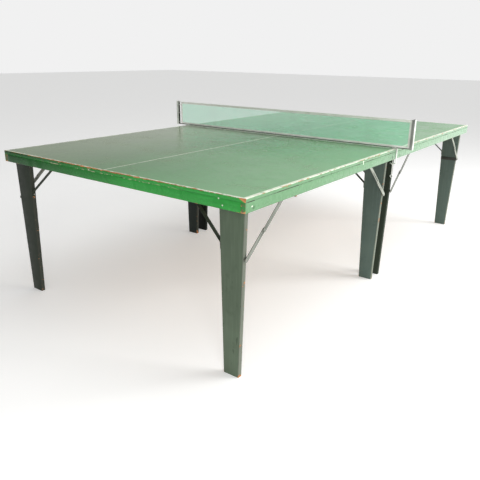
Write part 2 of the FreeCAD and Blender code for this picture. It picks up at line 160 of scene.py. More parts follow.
def choices():
    """The settings as stored in the scene: colours, the table's sizes, the net's sizes."""
    return [getattr(bpy.context.scene, setting) for setting in GROUPS]


# ---- materials ----

class Finish:
    """One material's nodes, added a node at a time."""

    def __init__(self, name):
        self.material = bpy.data.materials.new(name)
        self.material.use_nodes = True
        self.nodes = self.material.node_tree.nodes
        self.links = self.material.node_tree.links
        self.surface = self.nodes["Principled BSDF"]
        self.place = self.nodes.new("ShaderNodeTexCoord").outputs["Object"]
        split = self.nodes.new("ShaderNodeSeparateXYZ")
        self.links.new(self.place, split.inputs[0])
        self.x, self.y, self.z = split.outputs

    def insets(self):
        """How far in from the table's sides, and from its ends."""
        return (self.minus(HALF_WIDTH, self.sum("ABSOLUTE", self.x)),
                self.minus(HALF_LENGTH, self.sum("ABSOLUTE", self.y)))

    def put(self, value, socket):
        """Give a socket a plain value or a link."""
        if isinstance(value, bpy.types.NodeSocket):
            self.links.new(value, socket)
        elif hasattr(value, "__len__") and socket.type == "RGBA":
            socket.default_value = (*value[:3], 1)
        else:
            socket.default_value = value

    def sum(self, operation, *values):
        """A Math node; the next five are its common kinds."""
        node = self.nodes.new("ShaderNodeMath")
        node.operation = operation
        for value, socket in zip(values, node.inputs):
            self.put(value, socket)
        return node.outputs[0]

    times = partialmethod(sum, "MULTIPLY")
    plus = partialmethod(sum, "ADD")
    minus = partialmethod(sum, "SUBTRACT")
    most = partialmethod(sum, "MAXIMUM")
    least = partialmethod(sum, "MINIMUM")

    def spread(self, value, low, high, new_low=0.0, new_high=1.0):
        """A value carried smoothly from one range to another."""
        node = self.nodes.new("ShaderNodeMapRange")
        node.interpolation_type = "SMOOTHSTEP"
        for given, socket in zip((value, low, high, new_low, new_high), node.inputs):
            self.put(given, socket)
        return node.outputs[0]

    def noise(self, scale, detail=4.0, rough=0.55, stretch=(1, 1, 1), shift=0.0):
        """A noise whose grains are stretch times as long along each axis."""
        mapping = self.nodes.new("ShaderNodeMapping")
        mapping.inputs["Location"].default_value = (shift, shift * 0.7, shift * 1.3)
        mapping.inputs["Scale"].default_value = [1 / part for part in stretch]
        self.links.new(self.place, mapping.inputs["Vector"])
        node = self.nodes.new("ShaderNodeTexNoise")
        self.links.new(mapping.outputs[0], node.inputs["Vector"])
        node.inputs["Scale"].default_value = scale
        node.inputs["Detail"].default_value = detail
        node.inputs["Roughness"].default_value = rough
        return node.outputs["Fac"]

    def mix(self, share, first, second):
        """A colour between two others."""
        node = self.nodes.new("ShaderNodeMix")
        node.data_type = "RGBA"
        self.put(share, node.inputs["Factor"])
        self.put(first, node.inputs["A"])
        self.put(second, node.inputs["B"])
        return node.outputs["Result"]

    def bump(self, height, distance, under=None):
        """Relief a given height in metres."""
        node = self.nodes.new("ShaderNodeBump")
        node.inputs["Distance"].default_value = distance
        self.put(height, node.inputs["Height"])
        if under is not None:
            self.links.new(under, node.inputs["Normal"])
        return node.outputs[0]

    def finish(self, base, rough, normal=None, **fixed):
        """Set the surface's own sockets."""
        self.put(base, self.surface.inputs["Base Color"])
        self.put(rough, self.surface.inputs["Roughness"])
        if normal is not None:
            self.links.new(normal, self.surface.inputs["Normal"])
        for name, value in fixed.items():
            self.surface.inputs[name.replace("_", " ")].default_value = value
        return self.material


def scaled(values, share):
    """A colour made darker or lighter."""
    return tuple(min(value * share, 1.0) for value in values[:3])


def wood_colour(made, wood, stretch):
    """Grain with darker late wood, long along the plank."""
    grain = made.noise(70, 6, 0.6, stretch)
    streak = made.noise(260, 3, 0.5, stretch)
    base = made.mix(made.spread(grain, 0.35, 0.65), scaled(wood, 0.62), wood)
    return made.mix(made.spread(streak, 0.52, 0.7, 0, 0.45), base, scaled(wood, 0.42))


def raw_wood(name, wood, stretch):
    """Sawn wood that was never painted."""
    made = Finish(name)
    base = wood_colour(made, wood, stretch)
    stain = made.noise(3, 4)
    base = made.mix(made.spread(stain, 0.45, 0.7, 0, 0.5), base, scaled(wood, 0.45))
    fibre = made.noise(420, 3, 0.6, stretch)
    return made.finish(base, made.spread(fibre, 0.2, 0.8, 0.6, 0.9), made.bump(fibre, 0.0004))


def painted_wood(name, paint, wood, stretch, bare, gloss=0.3, near_edge=None, sheen_colour=None, shine=0.5):
    """Old brush paint: brush marks, drift of tone, chips through to the wood, grime; painted shade to the
    left, painted sheen on the right side.
    """
    made = Finish(name)
    drift = made.noise(2.2, 3, 0.5)
    brush = made.noise(120, 3, 0.5, stretch)
    blotch = made.noise(26, 5, 0.6)
    tone = made.mix(made.spread(drift, 0.3, 0.7), scaled(paint, 0.8), scaled(paint, 1.16))
    tone = made.mix(made.spread(brush, 0.4, 0.75, 0, 0.22), tone, scaled(paint, 1.5))
    tone = made.mix(made.spread(blotch, 0.56, 0.72, 0, 0.35), tone, scaled(paint, 0.62))
    # Painted shade: the paint darkens towards the left; on the rails it is strongest on the near end's
    # faces.
    left_shade = made.spread(made.x, -0.9, 0.7, 0.92, 0)
    if sheen_colour:
        left_shade = made.times(left_shade, made.spread(made.y, -HALF_LENGTH, 0.1 - HALF_LENGTH, 1, 0.2))
    tone = made.mix(left_shade, tone, scaled(paint, 0.12))
    scuff = made.noise(60, 5, 0.65, tuple(min(part, 6) for part in stretch), 7.7)
    tone = made.mix(made.spread(scuff, 0.66, 0.7, 0, 0.6), tone, scaled(paint, 0.25))
    # Painted sheen: the right side turns pale green, paler still towards the far end, standing in for the
    # gloss's reflection of the window.
    if sheen_colour:
        sheen_share = made.spread(made.x, HALF_WIDTH - 0.006, HALF_WIDTH - 0.001, 0, 0.93)
        sheen_tone = made.mix(made.spread(made.y, -HALF_LENGTH, HALF_LENGTH), sheen_colour, tint(150, 172, 152))
        sheen_tone = made.mix(made.spread(brush, 0.3, 0.7, 0, 0.12), sheen_tone, scaled(sheen_colour, 0.6))
        tone = made.mix(sheen_share, tone, sheen_tone)
    flake = made.noise(48, 9, 0.68, (1.6, 1.6, 1), 3.1)
    fleck = made.noise(210, 4, 0.6, shift=1.7)
    worn = made.plus(flake, made.times(fleck, 0.16))
    if near_edge:
        worn = made.plus(worn, near_edge(made))
    chips = made.spread(worn, bare, bare + 0.025)
    rim = made.spread(worn, bare - 0.03, bare)
    tone = made.mix(made.times(rim, 0.55), tone, scaled(paint, 0.45))
    base = made.mix(chips, tone, wood_colour(made, wood, stretch))
    rough = made.plus(made.spread(blotch, 0.3, 0.8, gloss, gloss + 0.16), made.times(chips, 0.35))
    relief = made.bump(brush, 0.00012)
    relief = made.bump(made.minus(1.0, chips), 0.0006, under=relief)
    return made.finish(base, rough, relief, Specular_IOR_Level=shine)


def rail_edges(made):
    """Wear that gathers along the top and the bottom of the apron."""
    depth = made.minus(TABLE_TOP, made.z)
    lip = made.times(knocked(made), made.spread(depth, 0.002, 0.007, 0.8, 0))
    top = made.plus(made.spread(depth, 0, 0.014, 0.09, 0), lip)
    bottom = made.spread(made.minus(made.z, RAIL_BOTTOM), 0, 0.008, 0.02, 0)
    return made.plus(top, bottom)


def foot_wear(made):
    """Wear that gathers at the bottom of a leg."""
    return made.spread(made.z, 0.0, 0.03, 0.12, 0.0)


def knocked(made):
    """Wear along the middle of the near edge, where it has been knocked most."""
    middle = made.spread(made.sum("ABSOLUTE", made.x), 0.1, 0.9, 0.17, 0)
    near = made.spread(made.y, 0.007 - HALF_LENGTH, 0.016 - HALF_LENGTH, 1, 0)
    return made.times(middle, near)


def line_share(made, sizes):
    """1 on the white lines along the edges and down the middle, broken where they have worn."""
    wobble = made.times(made.minus(made.noise(30, 3, shift=5.0), 0.5), 0.003)
    blur = 0.0008
    side, end = (made.spread(made.plus(inset, wobble), width - blur, width + blur, 1, 0)
                 for inset, width in zip(made.insets(), (sizes.line_width, sizes.end_width)))
    edge = made.most(side, end)
    half = sizes.centre_width / 2
    middle = made.spread(made.sum("ABSOLUTE", made.x), half - blur / 2, half + blur, 1, 0)
    thin = made.spread(made.noise(38, 7, 0.7, shift=2.2), 0.36, 0.46, 0.25, 1.0)
    return made.times(made.most(edge, middle), thin)


def playing_paint(colours, sizes):
    """The playing surface: matt green, rubbed and scratched, with its white lines and a painted sheen
    across it.
    """
    made = Finish("table_green")
    green = colours.playing_green
    drift = made.noise(1.7, 4, 0.6)
    cloud = made.noise(9, 5, 0.6, shift=4.0)
    tone = made.mix(made.spread(drift, 0.3, 0.7), scaled(green, 0.84), scaled(green, 1.12))
    # Painted sheen: lighter green towards the right, pale grey towards the left.
    tone = made.mix(made.spread(made.x, -0.2, 0.9, 0, 0.7), tone, tint(128, 190, 132))
    tone = made.mix(made.spread(made.x, -0.9, 0.4, 0.85, 0), tone, tint(178, 187, 166))
    tone = made.mix(made.spread(cloud, 0.5, 0.75, 0, 0.3), tone, tint(138, 142, 120))
    speck = made.noise(330, 3, 0.6)
    tone = made.mix(made.spread(speck, 0.62, 0.72, 0, 0.35), tone, scaled(green, 0.45))
    tone = made.mix(line_share(made, sizes), tone, colours.line_white)
    scratch = made.spread(made.noise(95, 4, 0.6, (0.22, 5.0, 1), 1.1), 0.63, 0.67)
    cross = made.spread(made.noise(85, 4, 0.6, (5.0, 0.2, 1), 6.3), 0.64, 0.68)
    cuts = made.most(scratch, cross)
    patch = made.spread(made.noise(4, 2, shift=8.0), 0.45, 0.62)
    cuts = made.times(cuts, patch)
    tone = made.mix(made.times(cuts, 0.8), tone, scaled(green, 0.25))
    rim = made.spread(made.least(*made.insets()), 0, 0.016, 0.14, 0)
    worn = made.plus(made.noise(60, 9, 0.68, (1.4, 1.4, 1), 3.1), rim)
    worn = made.plus(worn, knocked(made))
    chips = made.spread(worn, 0.73, 0.75)
    base = made.mix(chips, tone, wood_colour(made, colours.bare_wood, (14, 1, 1)))
    rough = made.plus(made.spread(cloud, 0.3, 0.75, 0.14, 0.3), made.times(cuts, 0.2))
    relief = made.bump(made.noise(34, 4, 0.5, shift=9.0), 0.0006)
    relief = made.bump(made.minus(1.0, made.most(cuts, chips)), 0.0003, under=relief)
    return made.finish(base, rough, relief)


def painted_steel(name, paint, gloss, rust, shine):
    """Painted steel with rubbed edges and a few rusty flecks."""
    made = Finish(name)
    drift = made.noise(14, 4, 0.6)
    fleck = made.noise(160, 6, 0.7, shift=2.0)
    tone = made.mix(made.spread(drift, 0.3, 0.7), scaled(paint, 0.78), scaled(paint, 1.15))
    rubbed = made.spread(fleck, rust - 0.06, rust)
    tone = made.mix(made.times(rubbed, 0.5), tone, scaled(paint, 0.5))
    base = made.mix(made.spread(fleck, rust, rust + 0.03), tone, tint(98, 66, 42))
    rough = made.plus(made.spread(drift, 0.3, 0.7, gloss, gloss + 0.2), made.times(rubbed, 0.2))
    return made.finish(base, rough, made.bump(made.noise(300, 3), 0.00015), Specular_IOR_Level=shine)


def dull_steel(name, steel):
    """Old zinc-plated steel, fingered and spotted."""
    made = Finish(name)
    spots = made.noise(240, 6, 0.7)
    base = made.mix(made.spread(spots, 0.45, 0.7), steel, scaled(steel, 0.4))
    rough = made.spread(spots, 0.3, 0.7, 0.32, 0.6)
    return made.finish(base, rough, made.bump(spots, 0.0001), Metallic=0.85)


def cotton(name, dye, threads):
    """Woven or laid-up cotton."""
    made = Finish(name)
    fibre = made.noise(threads, 4, 0.6)
    soil = made.noise(7, 4, 0.6)
    tone = made.mix(made.spread(soil, 0.4, 0.75, 0, 0.5), dye, scaled(dye, 0.72))
    base = made.mix(made.spread(fibre, 0.4, 0.7, 0, 0.4), tone, scaled(dye, 0.62))
    return made.finish(base, made.spread(fibre, 0.3, 0.7, 0.7, 0.95), made.bump(fibre, 0.0002),
                       Sheen_Weight=0.2)


def woven_tape(name, dye):
    """White tape: a fine weave, soiled in patches."""
    made = Finish(name)
    warp, weft = (made.sum("SINE", made.times(way, 5200)) for way in (made.x, made.z))
    weave = made.times(warp, weft)
    soil = made.noise(9, 5, 0.65)
    tone = made.mix(made.spread(soil, 0.42, 0.75, 0, 0.55), dye, tint(172, 176, 160))
    base = made.mix(made.spread(weave, -1, 1, 0.16, 0), tone, scaled(dye, 0.5))
    return made.finish(base, 0.85, made.bump(weave, 0.00012), Sheen_Weight=0.2)


def worn_end(colours):
    """End grain that has lost most of its paint and gone dark with dirt."""
    made = Finish("worn_end")
    ragged = made.noise(48, 7, 0.7, shift=4.4)
    tone = made.mix(made.spread(ragged, 0.46, 0.54), scaled(colours.apron_green, 0.6), tint(100, 92, 62))
    low = made.spread(made.minus(made.z, RAIL_BOTTOM), 0, 0.012, 0.22, 0)
    bare = made.spread(made.plus(made.noise(70, 6, 0.65, shift=6.1), low), 0.58, 0.62)
    base = made.mix(bare, tone, scaled(colours.bare_wood, 0.85))
    made.finish(base, 0.6, made.bump(made.noise(500, 3, 0.6, (1, 1, 3)), 0.0006))


def grime(colours):
    """Dirt and broken paint in the joint between the board and the rail."""
    made = Finish("seam_grime")
    broken = made.noise(13, 5, 0.65, shift=2.9)
    side = made.spread(made.sum("ABSOLUTE", made.x), HALF_WIDTH - 0.006, HALF_WIDTH - 0.001)
    # On the long sides the joint takes the pale sheen green, a painted sheen; the dark is dirt.
    green = made.mix(side, scaled(colours.apron_green, 0.8), scaled(colours.sheen_green, 0.8))
    broken = made.plus(broken, made.times(side, 0.11))
    base = made.mix(made.spread(broken, 0.62, 0.68), green, tint(46, 44, 30))
    flakes = made.spread(made.noise(90, 5, 0.65, (3, 3, 1), 5.5), 0.5, 0.56)
    middle = made.spread(knocked(made), 0.09, 0.14)
    base = made.mix(made.times(flakes, middle), base, tint(206, 196, 168))
    made.finish(base, 0.7, made.bump(made.noise(300), 0.0003))


def finishes():
    """Every material, made once."""
    if "table_green" in bpy.data.materials:
        return bpy.data.materials
    colours, sizes, _ = choices()
    wood = colours.bare_wood
    long_x, long_y, long_z = (18, 1, 1), (1, 18, 1), (1, 1, 18)
    playing_paint(colours, sizes)
    # The rails' paints carry a painted shade to the left and a painted sheen on the right side.
    for axis, stretch in (("x", long_x), ("y", long_y)):
        for part, bare in (("paint", 0.78), ("arris", 0.66)):
            painted_wood(f"apron_{part}_{axis}", colours.apron_green, wood, stretch, bare, 0.22, rail_edges,
                         colours.sheen_green, 0.2)
    painted_wood("line_arris", colours.line_white, wood, long_x, 0.6, 0.4, knocked)
    # White for the filler dabs and drips, and for one painted highlight.
    painted_wood("filler_white", colours.line_white, wood, long_x, 0.9, 0.5)
    for name, paint, bare, gloss in (("leg_green", colours.leg_green, 0.8, 0.36),
                                     ("leg_cool", tint(82, 97, 90), 0.84, 0.4),
                                     # A painted shade: a very dark copy of the leg green for the far seam's
                                     # legs.
                                     ("leg_painted_shade", scaled(colours.leg_green, 0.3), 0.84, 0.5),
                                     # A painted highlight for the legs' rounded edges and right faces.
                                     ("leg_highlight", tint(106, 112, 100), 0.7, 0.4)):
        painted_wood(name, paint, wood, long_z, bare, gloss, foot_wear, shine=0.15)
    painted_wood("cross_rail_paint", colours.leg_green, wood, long_x, 0.78, 0.4, shine=0.25)
    raw_wood("board_underside", colours.raw_wood, long_y)
    raw_wood("batten_wood", scaled(colours.raw_wood, 0.85), long_x)
    worn_end(colours)
    raw_wood("chipped_wood", wood, long_x)
    grime(colours)
    for name, paint, gloss, rust, shine in (
            ("stay_paint", colours.stay_grey, 0.35, 0.66, 0.5),
            # Darker copies of the stay grey: painted shade on the stays and on their narrow edges.
            ("stay_painted_shade", scaled(colours.stay_grey, 0.55), 0.35, 0.66, 0.5),
            ("stay_edge", scaled(colours.stay_grey, 0.25), 0.45, 0.66, 0.5),
            ("brace_paint", scaled(colours.brace_green, 0.7), 0.5, 0.66, 0.15),
            ("strap_paint", scaled(colours.brace_green, 0.45), 0.45, 0.66, 0.5),
            ("post_enamel", colours.post_white, 0.3, 0.7, 0.5),
            # Painted shade for the right post's front flange, the channels' insides and the bar's
            # underside.
            ("post_painted_shade", scaled(colours.post_white, 0.4), 0.4, 0.66, 0.5),
            ("channel_shade", tint(72, 72, 66), 0.5, 0.66, 0.5),
            ("clamp_enamel", scaled(colours.post_white, 0.85), 0.35, 0.62, 0.5),
            ("screw_zinc", tint(232, 233, 226), 0.3, 0.72, 0.5)):
        painted_steel(name, paint, gloss, rust, shine)
    dull_steel("bolt_steel", colours.bolt_steel)
    cotton("net_thread", colours.net_green, 900)
    cotton("cord_cotton", colours.tape_white, 1400)
    woven_tape("tape_weave", colours.tape_white)
    return bpy.data.materials


# ---- modelling steps shared by the pieces ----

def deselect():
    """Leave edit mode and select nothing."""
    if bpy.context.object and bpy.context.object.mode != "OBJECT":
        bpy.ops.object.mode_set(mode="OBJECT")
    bpy.ops.object.select_all(action="DESELECT")


def only(piece):
    """Select one piece and make it active."""
    deselect()
    piece.select_set(True)
    bpy.context.view_layer.objects.active = piece


def named(name, materials):
    """Name the new object, put its place in its mesh and give it its materials."""
    piece = bpy.context.object
    bpy.ops.object.transform_apply(location=True, rotation=True, scale=True)
    piece.name = name
    piece.data.name = name
    for material in materials:
        piece.data.materials.append(finishes()[material])
    return piece


def block(name, low, high, materials):
    """A cube at its size and place."""
    deselect()
    bpy.ops.mesh.primitive_cube_add(size=1, location=(low + high) / 2)
    bpy.context.object.scale = high - low
    return named(name, materials)


def pick(piece, kind, wanted):
    """In edit mode, select the verts, edges or faces whose middle (and normal) passes the test."""
    if piece.mode != "EDIT":
        only(piece)
        bpy.ops.object.mode_set(mode="EDIT")
    bpy.ops.mesh.select_mode(type=kind)
    bpy.ops.mesh.select_all(action="DESELECT")
    shape = bmesh.from_edit_mesh(piece.data)
    if kind == "FACE":
        for face in shape.faces:
            face.select_set(bool(wanted(face.calc_center_median(), face.normal)))
    elif kind == "EDGE":
        for edge in shape.edges:
            ends = [vert.co for vert in edge.verts]
            edge.select_set(bool(wanted((ends[0] + ends[1]) / 2, ends[1] - ends[0])))
    else:
        for vert in shape.verts:
            vert.select_set(bool(wanted(vert.co, vert.normal)))
    bmesh.update_edit_mesh(piece.data)


def edit_done(piece):
    """Leave edit mode."""
    bpy.ops.object.mode_set(mode="OBJECT")
    return piece


def whole(piece):
    """Enter edit mode with all of a piece selected."""
    only(piece)
    bpy.ops.object.mode_set(mode="EDIT")
    bpy.ops.mesh.select_all(action="SELECT")


def paint_faces(piece, index, wanted):
    """Give the faces that pass the test one of the piece's materials."""
    for face in piece.data.polygons:
        if wanted(face.center, face.normal):
            face.material_index = index


def modify(piece, kind, **settings):
    """Add a modifier and apply it."""
    only(piece)
    modifier = piece.modifiers.new(kind, kind)
    for name, value in settings.items():
        setattr(modifier, name, value)
    bpy.ops.object.modifier_apply(modifier=modifier.name)


def smooth(piece, degrees=35):
    """Shade smooth across edges flatter than an angle."""
    only(piece)
    bpy.ops.object.shade_smooth_by_angle(angle=math.radians(degrees))


def join(name, pieces):
    """Make one piece of several."""
    deselect()
    for piece in pieces:
        piece.select_set(True)
    bpy.context.view_layer.objects.active = pieces[0]
    bpy.ops.object.join()
    pieces[0].name = name
    return pieces[0]


def wind(piece, centre, axis, turns, run, steps):
    """Wind an outline round a line while it moves on along it, and close both ends."""
    deselect()
    bpy.ops.object.empty_add(location=centre)
    line = bpy.context.object
    modify(piece, "SCREW", angle=math.tau * turns, screw_offset=run, axis=axis, steps=turns * steps,
           object=line, use_merge_vertices=False)
    bpy.data.objects.remove(line)
    whole(piece)
    bpy.ops.mesh.fill_holes(sides=8)
    bpy.ops.mesh.select_all(action="SELECT")
    bpy.ops.mesh.normals_make_consistent(inside=False)
    return edit_done(piece)


def settle(piece, body, slot, *nodes):
    """The piece rides on its body and stands for its nodes; its slot is not used."""
    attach(piece, body)
    if nodes:
        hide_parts(*nodes)
    return piece


def chip_edges(piece, depth, grain, seed, wanted):
    """Knock uneven dents into the vertices that pass the test."""
    group = piece.vertex_groups.new(name="edges")
    group.add([vert.index for vert in piece.data.vertices if wanted(vert.co)], 1.0, "REPLACE")
    texture = bpy.data.textures.new(f"{piece.name}_dents", "CLOUDS")
    texture.noise_scale = grain
    texture.noise_depth = 3
    texture.contrast = 2.5
    texture.intensity = 0.7
    texture.cloud_type = "GRAYSCALE"
    texture.noise_basis = seed
    modify(piece, "DISPLACE", texture=texture, texture_coords="LOCAL", strength=-depth, mid_level=0.0,
           vertex_group="edges")


def eased_copy(node, materials, width, body, slot, name=None):
    """The frame's own piece with its sharp edges broken, so that they catch the light."""
    deselect()
    piece = frame["nodes"][node].copy()
    piece.data = piece.data.copy()
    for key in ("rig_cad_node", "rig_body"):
        del piece[key]
    bpy.context.scene.collection.objects.link(piece)
    piece.parent = None
    piece.hide_render = False
    piece.name = name or node + "_eased"
    piece.data.materials.clear()
    for material in materials:
        piece.data.materials.append(finishes()[material])
    whole(piece)
    bpy.ops.mesh.remove_doubles(threshold=0.00001)
    bpy.ops.mesh.dissolve_limited(angle_limit=math.radians(0.5))
    bpy.ops.object.mode_set(mode="OBJECT")
    modify(piece, "BEVEL", width=width, segments=2, limit_method="ANGLE", angle_limit=math.radians(40))
    smooth(piece)
    return settle(piece, body, slot, node)


def timber(node, name, materials, ease, long_axis, cuts=0):
    """A sawn board as large as its node, its edges eased, and its long edges cut into short lengths when
    asked.
    """
    low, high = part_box(node)
    piece = block(name, low, high, materials)
    pick(piece, "EDGE", lambda middle, run: True)
    bpy.ops.mesh.bevel(offset=ease, segments=2, material=1)
    if cuts:
        pick(piece, "EDGE", lambda middle, run: abs(run[long_axis]) > 0.9 * (high - low)[long_axis])
        bpy.ops.mesh.subdivide(number_cuts=cuts)
    return edit_done(piece)


# ---- the pieces ----

class PINGPONG_OT_boards(Operator):
    """Build the two top boards, with the lines' worn edge and the broken corner."""

    bl_idname = "ping_pong.boards"
    bl_label = "Top boards"

    def execute(self, context):
        _, sizes, _ = choices()
        for half in HALVES:
            low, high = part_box(half + "_top_board")
            materials = ("table_green", "line_arris", "apron_paint_x", "board_underside", "chipped_wood",
                         "seam_grime")
            piece = timber(half + "_top_board", half + "_board", materials, sizes.edge_ease, 1, 120)
            pick(piece, "EDGE", lambda middle, run: abs(run.x) > 0.9 * (high - low).x)
            bpy.ops.mesh.subdivide(number_cuts=120)
            edit_done(piece)
            if half == "near":
                self.break_corner(piece, high.x, low.y)
            lip = TABLE_TOP - 1.2 * sizes.edge_ease
            paint_faces(piece, 2, lambda middle, normal: middle.z < lip)
            seam = low.z + sizes.edge_ease
            paint_faces(piece, 5, lambda middle, normal: middle.z < seam)
            paint_faces(piece, 3, lambda middle, normal: normal.z < -0.95)
            paint_faces(piece, 4, lambda middle, normal: 0.05 < normal.x < 0.3 and normal.y < -0.9)
            chip_edges(piece, 0.0014, 0.02, "BLENDER_ORIGINAL",
                       lambda place: 0.1 < (TABLE_TOP - place.z) / sizes.edge_ease < 0.6
                       and abs(place.y) > 0.01)
            smooth(piece)
            settle(piece, half + "_half", "playing_paint", half + "_top_board")
        return {"FINISHED"}

    def break_corner(self, piece, corner_x, corner_y):
        """Cut a splinter off the corner that has been knocked."""
        pick(piece, "FACE", lambda middle, normal: True)
        bpy.ops.mesh.bisect(plane_co=(corner_x - 0.034, corner_y, TABLE_TOP),
                            plane_no=(0.13, -0.96, 0.26), use_fill=True, clear_outer=True)
        edit_done(piece)


class PINGPONG_OT_rails(Operator):
    """Build the rails round both halves and the battens under them."""

    bl_idname = "ping_pong.rails"
    bl_label = "Rails and battens"

    def execute(self, context):
        _, sizes, _ = choices()
        for half in HALVES:
            for side in SIDES:
                self.rail(half, f"{half}_{side}_side_rail", "y", 1, sizes.edge_ease)
            self.rail(half, half + "_end_rail", "x", 0, sizes.edge_ease)
            self.rail(half, half + "_seam_rail", "x", 0, sizes.edge_ease)
            eased_copy(half + "_battens", ["batten_wood"], 0.002, half + "_half", "bare_wood")
        return {"FINISHED"}

    def rail(self, half, node, along, axis, ease):
        """One rail, its inner faces raw and its sawn ends showing end grain."""
        materials = ("apron_paint_" + along, "apron_arris_" + along, "board_underside", "worn_end",
                     "seam_grime")
        piece = timber(node, node + "_eased", materials, ease, axis, 90)
        centre = Vector((0, HALF_LENGTH / 2 * (-1 if half == "near" else 1), RAIL_BOTTOM))
        outward = (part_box(node)[0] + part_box(node)[1]) / 2 - centre
        face_axis = 0 if axis == 1 else 1
        way = math.copysign(1, outward[face_axis])
        paint_faces(piece, 2, lambda middle, normal: normal[face_axis] * way < -0.7)
        if axis == 1:
            paint_faces(piece, 3, lambda middle, normal: abs(normal.y) > 0.9)
        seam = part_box(node)[1].z - ease
        paint_faces(piece, 4, lambda middle, normal: middle.z > seam)
        chip_edges(piece, 0.001, 0.025, "IMPROVED_PERLIN",
                   lambda place: 0.1 < (place.z - RAIL_BOTTOM) / ease < 0.6)
        smooth(piece)
        settle(piece, half + "_half", "apron_paint", node)


class PINGPONG_OT_nails(Operator):
    """Drive the nails that hold the boards and rails together."""

    bl_idname = "ping_pong.nails"
    bl_label = "Nails"
    # Face, distance along it, height and radius of each dab of filler, drip of white and painted highlight.
    # The dab on the right side at -1.331 is the painted highlight, on the pivot bolt's head.
    dabs = (("end", 0.6413, 0.743, 0.0032), ("end", 0.6593, 0.7194, 0.0032),
            ("end", -0.0913, 0.7501, 0.0036), ("right", -1.331, 0.7255, 0.0034),
            ("right", -0.416, 0.7505, 0.004), ("right", -0.416, 0.744, 0.0032),
            ("right", -0.417, 0.7385, 0.0026))
    dark_spot = ("right", 0.0764, 0.7144, 0.004)

    def execute(self, context):
        _, sizes, _ = choices()
        board_mid = (TABLE_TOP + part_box("near_top_board")[0].z) / 2
        rail_mid = (RAIL_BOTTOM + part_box("near_top_board")[0].z) / 2
        for half in HALVES:
            away = -1 if half == "near" else 1
            spots = [("end", x, board_mid) for x in self.row(-HALF_WIDTH, HALF_WIDTH, sizes.nail_gap)]
            for side in SIDES:
                spots += [(side, away * y, board_mid) for y in self.row(0, HALF_LENGTH, sizes.nail_gap)]
                spots += [(side, away * (HALF_LENGTH - 0.011), rail_mid + lift) for lift in (-0.01, 0.01)]
            heads = [self.head(away, *spot) for spot in spots]
            if half == "near":
                heads += [self.head(away, *dab, "filler_white") for dab in self.dabs]
            else:
                heads.append(self.head(away, *self.dark_spot, "stay_edge"))
            settle(join(half + "_nails", heads), half + "_half", "fastener_steel")
        return {"FINISHED"}

    def row(self, start, end, gap):
        """Evenly spaced places between two ends."""
        count = int((end - start) / gap)
        return [start + (step + 0.5) * (end - start) / count for step in range(count)]

    def head(self, away, face, along, height, radius=0.0024, material="apron_arris_x"):
        """One nail head, dab or spot, just proud of the paint."""
        if face == "end":
            place, turn = (along, away * HALF_LENGTH, height), (math.pi / 2, 0, 0)
        else:
            way = -1 if face == "left" else 1
            place, turn = (way * HALF_WIDTH, along, height), (0, math.pi / 2, 0)
        deselect()
        bpy.ops.mesh.primitive_cylinder_add(vertices=12, radius=radius, depth=0.0008, location=place,
                                            rotation=turn)
        piece = named("nail", [material])
        pick(piece, "EDGE", lambda middle, run: True)
        bpy.ops.mesh.bevel(offset=0.0002, segments=1)
        return edit_done(piece)


class PINGPONG_OT_legs(Operator):
    """Build the eight tapered plank legs and the cross rails between them."""

    bl_idname = "ping_pong.legs"
    bl_label = "Legs and cross rails"

    def execute(self, context):
        _, sizes, _ = choices()
        for name in FRAMES:
            for side in SIDES:
                self.leg(f"{name}_{side}_leg", name + "_legs", sizes)
            eased_copy(name + "_cross_rail", ["cross_rail_paint"], 0.0015, name + "_legs", "leg_paint")
        return {"FINISHED"}

    def leg(self, node, body, sizes):
        """A plank drawn in to its foot, with a straight head behind the apron."""
        low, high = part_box(node)
        shoulder = Vector((high.x, high.y, RAIL_BOTTOM))
        # The far seam's legs get a painted shade, a very dark copy of the leg green.
        face = {"near_end_legs": "leg_green", "far_seam_legs": "leg_painted_shade"}.get(body, "leg_cool")
        piece = block(node + "_plank", low, shoulder, (face, "leg_highlight"))
        middle_x = (low.x + high.x) / 2
        middle_y = (low.y + high.y) / 2
        pick(piece, "VERT", lambda place, normal: place.z < 0.01)
        bpy.ops.transform.resize(value=(sizes.foot_width / (high.x - low.x), 1, 1),
                                 center_override=(middle_x, middle_y, 0))
        pick(piece, "FACE", lambda middle, normal: normal.z > 0.9)
        bpy.ops.mesh.extrude_region_move(
            TRANSFORM_OT_translate={"value": (0, 0, high.z - RAIL_BOTTOM)})
        pick(piece, "EDGE", lambda middle, run: abs(run.z) > 0.5 * run.length)
        # The rounded edges take the painted highlight, except on the legs in painted shade.
        bpy.ops.mesh.bevel(offset=sizes.leg_ease, segments=3, material=0 if face == "leg_painted_shade" else 1)
        pick(piece, "EDGE", lambda middle, run: abs(run.z) > 0.6)
        bpy.ops.mesh.subdivide(number_cuts=60)
        edit_done(piece)
        # Painted highlight: the right faces lighter.
        if face != "leg_painted_shade":
            paint_faces(piece, 1, lambda middle, normal: normal.x > 0.9)
        chip_edges(piece, 0.0012, 0.03, "IMPROVED_PERLIN",
                   lambda place: abs(abs(place.y - middle_y) - (high.y - low.y) / 2) < 0.0006)
        smooth(piece)
        settle(piece, body, "leg_paint", node)


